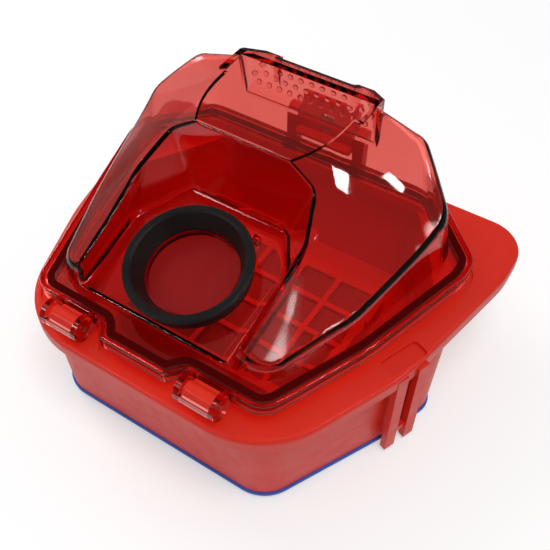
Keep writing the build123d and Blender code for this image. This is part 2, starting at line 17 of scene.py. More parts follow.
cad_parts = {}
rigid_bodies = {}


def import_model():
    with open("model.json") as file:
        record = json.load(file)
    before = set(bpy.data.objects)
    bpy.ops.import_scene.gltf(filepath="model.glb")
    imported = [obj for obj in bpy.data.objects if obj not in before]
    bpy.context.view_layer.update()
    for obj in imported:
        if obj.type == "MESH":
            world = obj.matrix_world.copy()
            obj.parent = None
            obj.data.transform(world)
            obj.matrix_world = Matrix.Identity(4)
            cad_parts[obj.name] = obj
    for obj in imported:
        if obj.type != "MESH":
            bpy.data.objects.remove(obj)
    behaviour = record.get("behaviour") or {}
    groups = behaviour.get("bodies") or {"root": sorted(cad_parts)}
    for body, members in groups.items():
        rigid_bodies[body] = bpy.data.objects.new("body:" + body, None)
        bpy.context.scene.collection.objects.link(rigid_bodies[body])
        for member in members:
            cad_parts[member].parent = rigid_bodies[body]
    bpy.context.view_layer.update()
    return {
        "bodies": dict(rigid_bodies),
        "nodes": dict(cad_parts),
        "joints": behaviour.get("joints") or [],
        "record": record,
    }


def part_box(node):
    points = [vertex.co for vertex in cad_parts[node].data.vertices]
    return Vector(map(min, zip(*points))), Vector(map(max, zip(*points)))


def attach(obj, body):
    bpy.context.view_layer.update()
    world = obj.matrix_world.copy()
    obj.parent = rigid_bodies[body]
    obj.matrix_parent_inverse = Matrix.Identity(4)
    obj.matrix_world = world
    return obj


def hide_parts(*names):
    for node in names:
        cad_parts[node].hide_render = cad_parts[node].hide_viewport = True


LOG = logging.getLogger("dust_bin")
Colour = tuple[float, float, float]
Point = tuple[float, float, float]
Span = tuple[float, float]
Spot = tuple[float, float]
UNIT: Span = (0.0, 1.0)
NOISE_SPAN: Span = (0.3, 0.7)
WHITE = (1.0, 1.0, 1.0, 1.0)


class Body(Enum):
    """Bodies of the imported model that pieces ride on."""

    BASE = "base"
    LID = "lid"
    LATCH = "latch"
    FLAP = "flap"


class Slot(Enum):
    """Material slots of the record."""

    RED_BASE = "red_base"
    CLEAR_RED = "clear_red"
    DARK_RED = "dark_red"
    BLUE_FRAME = "blue_frame"
    BLACK_RUBBER = "black_rubber"
    PIN_STEEL = "pin_steel"
    FILTER_PAPER = "filter_paper"
    FOAM = "foam"
    MESH_CLOTH = "mesh_cloth"


class NodeBench:
    """Adds nodes to one shader tree."""

    def __init__(self, tree: bpy.types.NodeTree) -> None:
        """Clear the tree.

        Args:
            tree: shader tree to fill.
        """
        self.tree = tree
        self.tree.nodes.clear()

    def add(self, kind: str, inputs: dict | None = None, **settings: object) -> bpy.types.Node:
        """Add a node and fill its inputs.

        Args:
            kind: node type without its ShaderNode prefix.
            inputs: input name or index to a plain value or a socket.
            settings: properties of the node itself.

        Returns:
            The new node.
        """
        node = self.tree.nodes.new("ShaderNode" + kind)
        for key, value in settings.items():
            setattr(node, key, value)
        for key, value in (inputs or {}).items():
            if isinstance(value, bpy.types.NodeSocket):
                self.tree.links.new(value, node.inputs[key])
            else:
                node.inputs[key].default_value = value
        return node

    def span(
        self,
        value: bpy.types.NodeSocket,
        goal: Span,
        source: Span = NOISE_SPAN,
    ) -> bpy.types.NodeSocket:
        """Map a value from one range to another.

        Args:
            value: value to map.
            goal: range of the result.
            source: range of the value, by default the one that noise fills.

        Returns:
            The mapped value.
        """
        fields = {
            "Value": value,
            "From Min": source[0],
            "From Max": source[1],
            "To Min": goal[0],
            "To Max": goal[1],
        }
        return self.add("MapRange", fields).outputs["Result"]

    def blend(
        self, factor: bpy.types.NodeSocket, low: Colour | bpy.types.NodeSocket, high: Colour
    ) -> bpy.types.NodeSocket:
        """Blend two colours.

        Args:
            factor: 0 for low, 1 for high.
            low: first colour, linked or plain.
            high: second colour.

        Returns:
            The blended colour.
        """
        start = low if isinstance(low, bpy.types.NodeSocket) else (*low, 1.0)
        # Sockets 6, 7 and output 2 are the ones for colours.
        fields = {0: factor, 6: start, 7: (*high, 1.0)}
        return self.add("Mix", fields, data_type="RGBA").outputs[2]

    def choose(
        self,
        factor: bpy.types.NodeSocket,
        low: float | bpy.types.NodeSocket,
        high: float | bpy.types.NodeSocket,
    ) -> bpy.types.NodeSocket:
        """Blend two values.

        Args:
            factor: 0 for low, 1 for high.
            low: first value, linked or plain.
            high: second value, linked or plain.

        Returns:
            The blended value.
        """
        return self.add("Mix", {0: factor, 2: low, 3: high}).outputs[0]

    def combine(
        self, operation: str, first: bpy.types.NodeSocket, second: bpy.types.NodeSocket | float
    ) -> bpy.types.NodeSocket:
        """Combine two values.

        Args:
            operation: name of the arithmetic operation.
            first: first value.
            second: second value, linked or plain.

        Returns:
            The result.
        """
        return self.add("Math", {0: first, 1: second}, operation=operation).outputs[0]


class ShaderBench(NodeBench):
    """Puts one node material together on Object coordinates."""

    def __init__(self, name: str) -> None:
        """Start an empty material.

        Args:
            name: name of the new material.
        """
        self.material = bpy.data.materials.new(name)
        self.material.use_nodes = True
        super().__init__(self.material.node_tree)
        self.output = self.add("OutputMaterial")
        self.place = self.add("TexCoord").outputs["Object"]

    def noise(
        self, scale: float, detail: float, where: bpy.types.NodeSocket | None = None
    ) -> bpy.types.NodeSocket:
        """Add a noise texture.

        Args:
            scale: waves per metre.
            detail: octaves.
            where: coordinates, the plain Object ones if None.

        Returns:
            The noise value.
        """
        fields = {"Vector": where or self.place, "Scale": scale, "Detail": detail}
        return self.add("TexNoise", fields).outputs[0]

    def stretch(self, scale: Point, turn: Point = (0.0, 0.0, 0.0)) -> bpy.types.NodeSocket:
        """Stretch and turn the Object coordinates.

        Args:
            scale: factor along each axis.
            turn: turn about each axis, radians.

        Returns:
            The changed coordinates.
        """
        fields = {"Vector": self.place, "Scale": scale, "Rotation": turn}
        return self.add("Mapping", fields).outputs["Vector"]

    def relief(
        self, height: bpy.types.NodeSocket, depth: float, strength: float = 0.5
    ) -> bpy.types.NodeSocket:
        """Turn a height into a bumped normal.

        Args:
            height: height pattern.
            depth: depth of the pattern in metres.
            strength: share of the bump that shows.

        Returns:
            The normal.
        """
        fields = {"Height": height, "Distance": depth, "Strength": strength}
        return self.add("Bump", fields).outputs["Normal"]

    def close(
        self, surface: bpy.types.Node, volume: bpy.types.Node | None = None
    ) -> bpy.types.Material:
        """Link the shader to the output.

        Args:
            surface: shader of the surface.
            volume: shader of the inside, if any.

        Returns:
            The finished material.
        """
        self.tree.links.new(surface.outputs[0], self.output.inputs["Surface"])
        if volume is not None:
            self.tree.links.new(volume.outputs[0], self.output.inputs["Volume"])
        return self.material


@dataclass(frozen=True)
class MouldedPlastic:
    """Opaque moulded plastic with a fine skin and rubbed patches."""

    name: str
    colour: Colour
    shade: Colour
    gloss: Span
    cloud: float = 22.0
    rub: float = 160.0
    skin: float = 2200.0
    depth: float = 0.000012
    ior: float = 1.47

    def make(self) -> bpy.types.Material:
        """Build the material.

        Returns:
            The finished material.
        """
        bench = ShaderBench(self.name)
        cloud = bench.noise(self.cloud, 3.0)
        slant = bench.stretch(scale=(1.0, 0.3, 1.0), turn=(0.2, 0.4, 0.7))
        rub = bench.noise(self.rub, 5.0, slant)
        skin = bench.noise(self.skin, 2.0)
        shader = bench.add(
            "BsdfPrincipled",
            {
                "Base Color": bench.blend(bench.span(cloud, UNIT), self.shade, self.colour),
                "Roughness": bench.span(rub, self.gloss),
                "IOR": self.ior,
                "Normal": bench.relief(skin, self.depth),
            },
        )
        return bench.close(shader)


@dataclass(frozen=True)
class ClearMoulding:
    """Clear coloured plastic: bright skin, fine wipe marks and a tint that deepens with thickness."""

    name: str
    film: Colour
    haze: Colour
    depth_tint: Colour
    density: float
    gloss: Span
    cloud: float = 35.0
    wipe: float = 420.0
    cross: float = 520.0
    marks: Span = (0.5, 0.75)
    scratch: float = 0.000004
    ior: float = 1.49
    let_through: Colour = (0.97, 0.85, 0.85)

    def make(self) -> bpy.types.Material:
        """Build the material.

        Returns:
            The finished material.
        """
        bench = ShaderBench(self.name)
        cloud = bench.noise(self.cloud, 3.0)
        along = bench.stretch(scale=(1.0, 0.06, 0.4), turn=(0.0, 0.3, 0.5))
        wipe = bench.noise(self.wipe, 4.0, along)
        athwart = bench.stretch(scale=(0.07, 1.0, 0.4), turn=(0.2, 0.0, -0.4))
        cross = bench.noise(self.cross, 4.0, athwart)
        marks = bench.combine("MAXIMUM", wipe, cross)
        shader = bench.add(
            "BsdfPrincipled",
            {
                "Base Color": bench.blend(bench.span(cloud, UNIT), self.haze, self.film),
                "Roughness": bench.span(marks, self.gloss, self.marks),
                "IOR": self.ior,
                "Transmission Weight": 1.0,
                "Normal": bench.relief(marks, self.scratch, 0.3),
            },
        )
        path = bench.add("LightPath").outputs
        through = bench.combine("MAXIMUM", path["Is Shadow Ray"], path["Is Diffuse Ray"])
        open_side = bench.add("BsdfTransparent", {"Color": (*self.let_through, 1.0)})
        wall = bench.add("MixShader", {0: through, 1: shader.outputs[0], 2: open_side.outputs[0]})
        tint = {"Color": (*self.depth_tint, 1.0), "Density": self.density}
        inside = bench.add("VolumeAbsorption", tint)
        return bench.close(wall, inside)


@dataclass(frozen=True)
class RubberSkin:
    """Dark moulded rubber with a dusty bloom."""

    name: str
    colour: Colour
    bloom: Colour
    gloss: Span
    # Painted red light: dark red on the rubber below the lid rim height, in place of the light that the
    # clear rim lets through.
    rim_glow_paint: Colour = (0.11, 0.007, 0.006)
    rim_glow_band: Span = (0.0800, 0.0805)
    cloud: float = 60.0
    grain: float = 3200.0
    depth: float = 0.00003
    ior: float = 1.5

    def make(self) -> bpy.types.Material:
        """Build the material; rubber below the lid rim gets painted dark red light in place of the light
        that the clear rim lets through.

        Returns:
            The finished material.
        """
        bench = ShaderBench(self.name)
        cloud = bench.noise(self.cloud, 5.0)
        grain = bench.noise(self.grain, 2.0)
        height = bench.add("SeparateXYZ", {0: bench.place}).outputs["Z"]
        black = bench.blend(bench.span(cloud, UNIT), self.colour, self.bloom)
        # Mask of the painted red rim light: 1 below the rim height, 0 above.
        low = bench.span(height, (1.0, 0.0), self.rim_glow_band)
        shader = bench.add(
            "BsdfPrincipled",
            {
                "Base Color": bench.blend(low, black, self.rim_glow_paint),
                "Roughness": bench.span(cloud, self.gloss),
                "IOR": self.ior,
                "Normal": bench.relief(grain, self.depth),
            },
        )
        return bench.close(shader)


@dataclass(frozen=True)
class DrawnSteel:
    """Drawn steel wire and pins with fine lines along X."""

    name: str
    colour: Colour
    shade: Colour
    gloss: Span
    lines: float = 2600.0
    depth: float = 0.00001

    def make(self) -> bpy.types.Material:
        """Build the material.

        Returns:
            The finished material.
        """
        bench = ShaderBench(self.name)
        line = bench.noise(self.lines, 3.0, bench.stretch(scale=(0.03, 1.0, 1.0)))
        shader = bench.add(
            "BsdfPrincipled",
            {
                "Base Color": bench.blend(bench.span(line, UNIT), self.shade, self.colour),
                "Metallic": 1.0,
                "Roughness": bench.span(line, self.gloss),
                "Normal": bench.relief(line, self.depth),
            },
        )
        return bench.close(shader)


@dataclass(frozen=True)
class FilterPaper:
    """Pressed fibre paper of the pleated filter."""

    name: str
    colour: Colour
    fibre: Colour
    gloss: Span = (0.8, 0.95)
    strands: float = 900.0
    depth: float = 0.00012
    fuzz: float = 0.15

    def make(self) -> bpy.types.Material:
        """Build the material.

        Returns:
            The finished material.
        """
        bench = ShaderBench(self.name)
        slant = bench.stretch(scale=(1.0, 0.35, 1.0), turn=(0.0, 0.0, 0.6))
        fibre = bench.noise(self.strands, 6.0, slant)
        shader = bench.add(
            "BsdfPrincipled",
            {
                "Base Color": bench.blend(bench.span(fibre, UNIT), self.fibre, self.colour),
                "Roughness": bench.span(fibre, self.gloss),
                "Sheen Weight": self.fuzz,
                "Normal": bench.relief(fibre, self.depth),
            },
        )
        return bench.close(shader)


@dataclass(frozen=True)
class OpenFoam:
    """Open-cell foam with dark pores."""

    name: str
    colour: Colour
    pore: Colour
    gloss: Span = (0.85, 0.98)
    cells: float = 620.0
    depth: float = 0.0006
    fuzz: float = 0.2

    def make(self) -> bpy.types.Material:
        """Build the material.

        Returns:
            The finished material.
        """
        bench = ShaderBench(self.name)
        cells = bench.add("TexVoronoi", {"Vector": bench.place, "Scale": self.cells})
        cell = cells.outputs["Distance"]
        wall = bench.span(cell, UNIT, (0.1, 0.6))
        shader = bench.add(
            "BsdfPrincipled",
            {
                "Base Color": bench.blend(wall, self.pore, self.colour),
                "Roughness": bench.span(cell, self.gloss, (0.0, 0.6)),
                "Sheen Weight": self.fuzz,
                "Normal": bench.relief(cell, self.depth, 0.9),
            },
        )
        return bench.close(shader)


@dataclass(frozen=True)
class WovenMesh:
    """Fine woven screen cloth, warp and weft crossing at right angles."""

    name: str
    strand: Colour
    gap: Colour
    gloss: Span = (0.75, 0.5)
    count: float = 260.0
    depth: float = 0.0002

    def make(self) -> bpy.types.Material:
        """Build the material.

        Returns:
            The finished material.
        """
        bench = ShaderBench(self.name)
        fields = {"Vector": bench.place, "Scale": self.count}
        warp = bench.add("TexWave", fields, bands_direction="X").outputs["Fac"]
        weft = bench.add("TexWave", fields, bands_direction="Y").outputs["Fac"]
        strand = bench.combine("MAXIMUM", warp, weft)
        covered = bench.span(strand, UNIT, (0.4, 0.8))
        shader = bench.add(
            "BsdfPrincipled",
            {
                "Base Color": bench.blend(covered, self.gap, self.strand),
                "Roughness": bench.span(strand, self.gloss, (0.2, 0.9)),
                "Normal": bench.relief(strand, self.depth, 0.8),
            },
        )
        return bench.close(shader)


@dataclass(frozen=True)
class Finishes:
    """Every finish of the dust bin."""

    red_base: MouldedPlastic = MouldedPlastic(
        "red_moulding",
        colour=(0.80, 0.028, 0.012),
        shade=(0.74, 0.024, 0.010),
        gloss=(0.28, 0.42),
    )
    clear_red: ClearMoulding = ClearMoulding(
        "clear_red_moulding",
        film=(0.99, 0.97, 0.97),
        haze=(0.96, 0.93, 0.93),
        depth_tint=(0.918, 0.11, 0.03),
        density=340.0,
        gloss=(0.012, 0.07),
    )
    dark_red: MouldedPlastic = MouldedPlastic(
        "dark_red_moulding",
        colour=(0.34, 0.003, 0.003),
        shade=(0.29, 0.002, 0.002),
        gloss=(0.30, 0.44),
    )
    blue_frame: MouldedPlastic = MouldedPlastic(
        "blue_moulding",
        colour=(0.045, 0.11, 0.52),
        shade=(0.038, 0.09, 0.44),
        gloss=(0.34, 0.48),
    )
    black_rubber: RubberSkin = RubberSkin(
        "black_rubber_skin",
        colour=(0.006, 0.006, 0.006),
        bloom=(0.012, 0.012, 0.012),
        gloss=(0.42, 0.58),
    )
    pin_steel: DrawnSteel = DrawnSteel(
        "drawn_steel",
        colour=(0.68, 0.67, 0.65),
        shade=(0.5, 0.49, 0.48),
        gloss=(0.22, 0.38),
    )
    filter_paper: FilterPaper = FilterPaper(
        "filter_fibre", colour=(0.83, 0.82, 0.77), fibre=(0.70, 0.68, 0.62)
    )
    foam: OpenFoam = OpenFoam(
        "open_foam", colour=(0.075, 0.075, 0.085), pore=(0.012, 0.012, 0.014)
    )
    mesh_cloth: WovenMesh = WovenMesh(
        "woven_screen", strand=(0.50, 0.030, 0.018), gap=(0.20, 0.012, 0.008)
    )

    def make(self) -> dict[Slot, bpy.types.Material]:
        """Build every material once.

        Returns:
            The material of each slot.
        """
        return {slot: getattr(self, slot.value).make() for slot in Slot}


class Workshop:
    """Carries the loaded frame and the materials, and finishes pieces on them."""

    def __init__(self, frame: dict, materials: dict[Slot, bpy.types.Material]) -> None:
        """Keep the frame and the materials.

        Args:
            materials: material of each slot.
        """
        self.nodes = frame["nodes"]
        self.materials = materials

    def dress(self, slot: Slot, *names: str) -> None:
        """Give carried-over nodes their finish.

        Args:
            slot: slot of the finish.
            names: nodes to dress.
        """
        for name in names:
            for holder in self.nodes[name].material_slots:
                holder.material = self.materials[slot]
            LOG.info("node %s: %s", name, self.materials[slot].name)

    def settle(
        self, name: str, form: bmesh.types.BMesh, slot: Slot, body: Body, crease: float
    ) -> bpy.types.Object:
        """Turn a form into a finished piece that rides a body.

        Args:
            name: name of the piece.
            form: mesh under work, freed here.
            slot: slot of its finish.
            body: body that it rides.
            crease: angle in degrees past which an edge stays sharp.

        Returns:
            The new object.
        """
        bmesh.ops.recalc_face_normals(form, faces=form.faces)
        for face in form.faces:
            face.smooth = True
        mesh = bpy.data.meshes.new(name)
        form.to_mesh(mesh)
        form.free()
        mesh.set_sharp_from_angle(angle=math.radians(crease))
        mesh.materials.append(self.materials[slot])
        piece = bpy.data.objects.new(name, mesh)
        bpy.context.scene.collection.objects.link(piece)
        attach(piece, body.value)
        LOG.info("piece %s: %d faces on %s", name, len(mesh.polygons), body.value)
        return piece


def verts_of(geometry: list) -> list[bmesh.types.BMVert]:
    """Pick the vertices out of mixed geometry."""
    return [item for item in geometry if isinstance(item, bmesh.types.BMVert)]


def top_face(form: bmesh.types.BMesh) -> bmesh.types.BMFace:
    """Find the highest face of a form."""
    return max(form.faces, key=lambda face: face.calc_center_median().z)


def round_edges(
    form: bmesh.types.BMesh, edges: list[bmesh.types.BMEdge], offset: float, segments: int = 3
) -> None:
    """Round some edges of a form.

    Args:
        form: mesh under work.
        edges: edges to round.
        offset: reach of the rounding on both sides of an edge.
        segments: steps across the rounding.
    """
    bmesh.ops.bevel(
        form,
        geom=edges,
        offset=offset,
        offset_type="OFFSET",
        segments=segments,
        profile=0.5,
        affect="EDGES",
        material=-1,
    )


def repeat(form: bmesh.types.BMesh, places: list[Matrix]) -> None:
    """Set copies of the whole form at several places.

    Args:
        form: mesh with the pattern shape at the origin.
        places: where the copies go; the pattern itself takes the first.
    """
    pattern = form.verts[:] + form.edges[:] + form.faces[:]
    for place in places[1:]:
        copy = bmesh.ops.duplicate(form, geom=pattern)
        bmesh.ops.transform(form, matrix=place, verts=verts_of(copy["geom"]))
    bmesh.ops.transform(form, matrix=places[0], verts=verts_of(pattern))


@dataclass
class Lid:
    """Clear lid with its seals and the moulded grip dots behind the top strip."""

    dot_radius: float = 0.0016
    dot_height: float = 0.0007
    dot_sink: float = 0.0001
    dot_sides: int = 14
    dot_bands: int = 8
    dot_pitch: float = 0.0062
    dot_columns: int = 12
    dot_rows: tuple[float, ...] = (0.1282, 0.1232, 0.1182, 0.1132)
    lip_foot: Spot = (0.0520, 0.1040)
    lip_edge: Spot = (0.0605, 0.1300)
    notch_half: float = 0.0220
    notch_y: float = 0.0556
    cheek_start: Spot = (0.0260, 0.0625)
    cheek_end: Spot = (0.0448, 0.0470)

    def build(self, shop: Workshop) -> None:
        """Dress the nodes and make the grip dots.

        Args:
            shop: workshop with frame and materials.
        """
        shop.dress(Slot.CLEAR_RED, "lid_dome")
        shop.dress(Slot.BLACK_RUBBER, "lid_seal", "inlet_seal")
        shop.dress(Slot.PIN_STEEL, "hinge_pin_left", "hinge_pin_right", "flap_pin", "flap_spring")
        self._dots(shop)

    def _dots(self, shop: Workshop) -> None:
        """Make the rows of low round dots on the rear face of the lip, odd rows half a pitch over.

        Args:
            shop: workshop with frame and materials.
        """
        form = bmesh.new()
        bmesh.ops.create_uvsphere(
            form, u_segments=self.dot_sides, v_segments=self.dot_bands, radius=self.dot_radius
        )
        cut = form.verts[:] + form.edges[:] + form.faces[:]
        bmesh.ops.bisect_plane(
            form, geom=cut, plane_co=(0, 0, -self.dot_sink), plane_no=(0, 0, -1), clear_outer=True
        )
        rim = [edge for edge in form.edges if edge.is_boundary]
        bmesh.ops.holes_fill(form, edges=rim, sides=0)
        bmesh.ops.scale(form, vec=(1, 1, self.dot_height / self.dot_radius), verts=form.verts)
        first = -self.dot_pitch * (self.dot_columns - 1) / 2
        places = [
            self._seat(first + self.dot_pitch * (column + row % 2 / 2 - 0.25), height)
            for column in range(self.dot_columns)
            for row, height in enumerate(self.dot_rows)
        ]
        repeat(form, places)
        shop.settle("grip_dots", form, Slot.CLEAR_RED, Body.LID, crease=50.0)

    def _seat(self, x: float, z: float) -> Matrix:
        """Find where a dot sits on the rear face of the lip.

        Args:
            x: place across.
            z: height.

        Returns:
            Matrix that puts a dot, flat side down, on the face.
        """
        rise = Vector(self.lip_edge) - Vector(self.lip_foot)
        slope_y = self.lip_foot[0] + rise.x * (z - self.lip_foot[1]) / rise.y
        faces = [(slope_y, Vector((0, rise.y, -rise.x)))]
        if abs(x) < self.notch_half:
            faces.append((self.notch_y, Vector((0, 1, 0))))
        run = Vector(self.cheek_end) - Vector(self.cheek_start)
        cheek_y = self.cheek_start[1] + run.y * (abs(x) - self.cheek_start[0]) / run.x
        faces.append((cheek_y, Vector((math.copysign(-run.y, x), run.x, 0))))
        y, outward = min(faces, key=lambda face: face[0])
        turn = outward.to_track_quat("Z", "X").to_matrix().to_4x4()
        return Matrix.Translation((x, y, z)) @ turn


@dataclass
class InletFlap:
    """Dark red flap behind the inlet ring."""

    def build(self, shop: Workshop) -> None:
        """Dress the flap."""
        shop.dress(Slot.DARK_RED, "inlet_flap")


@dataclass
class BaseTray:
    """Opaque red base on its four feet."""

    def build(self, shop: Workshop) -> None:
        """Dress the base and its feet."""
        shop.dress(Slot.RED_BASE, "base_tray", "screen_frame")
        shop.dress(
            Slot.BLACK_RUBBER,
            "foot_front_left",
            "foot_front_right",
            "foot_rear_left",
            "foot_rear_right",
        )


@dataclass
class Latch:
    """Rear latch lever with finger ridges, on its pin and spring."""

    ridge_half: float = 0.0125
    ridge_size: float = 0.0011
    ridge_round: float = 0.4
    ridge_heights: tuple[float, ...] = (0.0912, 0.0938, 0.0964)
    face_foot: Spot = (0.0752, 0.0890)
    face_top: Spot = (0.0784, 0.1020)

    def build(self, shop: Workshop) -> None:
        """Dress the latch and make its finger ridges.

        Args:
            shop: workshop with frame and materials.
        """
        shop.dress(Slot.RED_BASE, "latch_lever")
        shop.dress(Slot.PIN_STEEL, "latch_pin", "latch_spring")
        form = bmesh.new()
        bmesh.ops.create_cube(form, size=1.0)
        size = (2 * self.ridge_half, self.ridge_size, self.ridge_size)
        bmesh.ops.scale(form, vec=size, verts=form.verts)
        round_edges(form, form.edges[:], self.ridge_size * self.ridge_round)
        rise = (self.face_top[0] - self.face_foot[0]) / (self.face_top[1] - self.face_foot[1])
        tilt = Matrix.Rotation(-math.atan(rise), 4, "X")
        places = [
            Matrix.Translation((0, self.face_foot[0] + rise * (z - self.face_foot[1]), z)) @ tilt
            for z in self.ridge_heights
        ]
        repeat(form, places)
        shop.settle("latch_ridges", form, Slot.RED_BASE, Body.LATCH, crease=60.0)


@dataclass
class FilterStack:
    """Blue bottom frame with its screws and bead, pleated filter, foam block and screen cloth."""

    screw_radius: float = 0.0031
    screw_height: float = 0.0007
    screw_sides: int = 24
    screw_round: float = 0.7
    screw_gap: float = 0.00005
    recess_rim: float = 0.36
    recess_waist: float = 0.72
    recess_depth: float = 0.6
    recess_draft: float = 0.00004
    screw_spots: tuple[Spot, ...] = (
        (-0.072, -0.030),
        (0.078, -0.030),
        (-0.030, 0.046),
        (0.036, 0.046),
        (-0.030, -0.074),
        (0.036, -0.074),
    )
    frame_under: float = 0.0012
    bead_reach: float = 0.0013
    bead_round: float = 0.00117
    bead_band: Span = (0.0013, 0.0043)
    bead_step: float = 0.0002
    foam_edge: float = 0.0012
    foam_sink: float = 0.0007
    foam_cuts: int = 9
    foam_pull: Span = (0.012, 0.014)

    def build(self, shop: Workshop) -> None:
        """Dress the stack and make the foam block, the screws and the bead.

        Args:
            shop: workshop with frame and materials.
        """
        shop.dress(Slot.BLUE_FRAME, "filter_frame")
        shop.dress(Slot.BLACK_RUBBER, "filter_gasket")
        shop.dress(Slot.FILTER_PAPER, "filter_media")
        shop.dress(Slot.MESH_CLOTH, "screen_mesh")
        shop.dress(Slot.FOAM, "foam_pad")
        self._foam(shop)
        self._screws(shop)
        self._bead(shop)

    def _foam(self, shop: Workshop) -> None:
        """Make the cut foam block, a little crowned, in the room of its plain solid.

        Args:
            shop: workshop with frame and materials.
        """
        low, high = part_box("foam_pad")
        middle = (low + high) / 2
        half = (high - low) / 2
        form = bmesh.new()
        bmesh.ops.create_cube(form, size=2.0)
        bmesh.ops.scale(form, vec=half, verts=form.verts)
        round_edges(form, form.edges[:], self.foam_edge)
        long_edges = [edge for edge in form.edges if edge.calc_length() > half.z]
        bmesh.ops.subdivide_edges(form, edges=long_edges, cuts=self.foam_cuts, use_grid_fill=True)
        for vert in form.verts:
            across = vert.co.x / half.x
            along = vert.co.y / half.y
            vert.co.z *= 1 - self.foam_sink / half.z * max(across * across, along * along)
            vert.co.x *= 1 - self.foam_pull[0] * (1 - along * along)
            vert.co.y *= 1 - self.foam_pull[1] * (1 - across * across)
        bmesh.ops.translate(form, vec=middle, verts=form.verts)
        block = shop.settle("foam_block", form, Slot.FOAM, Body.BASE, crease=60.0)
        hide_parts("foam_pad")

    def _screws(self, shop: Workshop) -> None:
        """Make the pan-head screws that hold the bottom frame, star recess down.

        Args:
            shop: workshop with frame and materials.
        """
        form = bmesh.new()
        disc = bmesh.ops.create_circle(
            form, cap_ends=True, segments=self.screw_sides, radius=self.screw_radius
        )
        cap = disc["verts"][0].link_faces[0]
        raised = bmesh.ops.extrude_face_region(form, geom=[cap])
        bmesh.ops.translate(form, vec=(0, 0, self.screw_height), verts=verts_of(raised["geom"]))
        round_edges(form, top_face(form).edges[:], self.screw_height * self.screw_round)
        top = top_face(form)
        rim = self.screw_radius * self.recess_rim
        bmesh.ops.inset_region(form, faces=[top], thickness=rim, depth=0.0)
        for index, vert in enumerate(top.verts):
            # Two of every four corners move in, which leaves a six-pointed star.
            if index % 4 < 2:
                vert.co.xy *= self.recess_waist
        sink = -self.screw_height * self.recess_depth
        bmesh.ops.inset_region(form, faces=[top], thickness=self.recess_draft, depth=sink)
        turn = Matrix.Rotation(math.pi, 4, "X")
        height = self.frame_under + self.screw_gap
        places = [Matrix.Translation((x, y, height)) @ turn for x, y in self.screw_spots]
        repeat(form, places)
        shop.settle("frame_screws", form, Slot.PIN_STEEL, Body.BASE, crease=30.0)

    def _bead(self, shop: Workshop) -> None:
        """Make the round-edged bead that runs round the bottom frame below the box.

        Args:
            shop: workshop with frame and materials.
        """
        node = shop.nodes["filter_frame"]
        spots = [(node.matrix_world @ vert.co).xy for vert in node.data.vertices]
        rim = [spots[index] for index in convex_hull_2d(spots)]
        rim = [spot for spot, last in zip(rim, rim[-1:] + rim) if (spot - last).length > self.bead_step]
        low, high = self.bead_band
        form = bmesh.new()
        plate = form.faces.new([form.verts.new((*spot, low)) for spot in rim])
        drawn = bmesh.ops.extrude_edge_only(form, edges=plate.edges[:])
        bmesh.ops.translate(form, vec=(0, 0, high - low), verts=verts_of(drawn["geom"]))
        bmesh.ops.delete(form, geom=[plate], context="FACES_ONLY")
        bmesh.ops.recalc_face_normals(form, faces=form.faces)
        inner = set(form.verts)
        bmesh.ops.solidify(form, geom=form.faces[:], thickness=-self.bead_reach)
        outer = [edge for edge in form.edges if not inner & set(edge.verts)]
        level = [edge for edge in outer if abs(edge.verts[0].co.z - edge.verts[1].co.z) < self.bead_step]
        round_edges(form, level, self.bead_round, segments=4)
        shop.settle("frame_bead", form, Slot.BLUE_FRAME, Body.BASE, crease=50.0)


def grey(level: float) -> Colour:
    """Give the grey of a level."""
    return (level, level, level)


def compass(azimuth: float, elevation: float) -> Vector:
    """Turn two angles into a direction.

    Args:
        azimuth: degrees from the front, -Y, towards +X.
        elevation: degrees above the floor.

    Returns:
        The direction, one long.
    """
    around, above = math.radians(azimuth), math.radians(elevation)
    flat = math.cos(above)
    return Vector((math.sin(around) * flat, -math.cos(around) * flat, math.sin(above)))


@dataclass(frozen=True)
class Softbox:
    """One soft lamp aimed at the lid, given by the direction that it comes from."""

    name: str
    azimuth: float
    elevation: float
    distance: float
    width: float
    height: float
    power: float
    target: Point = (0.0, -0.01, 0.10)

    def build(self) -> None:
        """Hang the lamp."""
        back = compass(self.azimuth, self.elevation)
        light = bpy.data.lights.new(self.name, "AREA")
        light.shape = "RECTANGLE"
        light.size = self.width
        light.size_y = self.height
        light.energy = self.power
        lamp = bpy.data.objects.new(self.name, light)
        turn = back.to_track_quat("Z", "Y").to_matrix().to_4x4()
        lamp.matrix_world = Matrix.Translation(Vector(self.target) + back * self.distance) @ turn
        lamp.visible_camera = False
        lamp.visible_glossy = False
        bpy.context.scene.collection.objects.link(lamp)


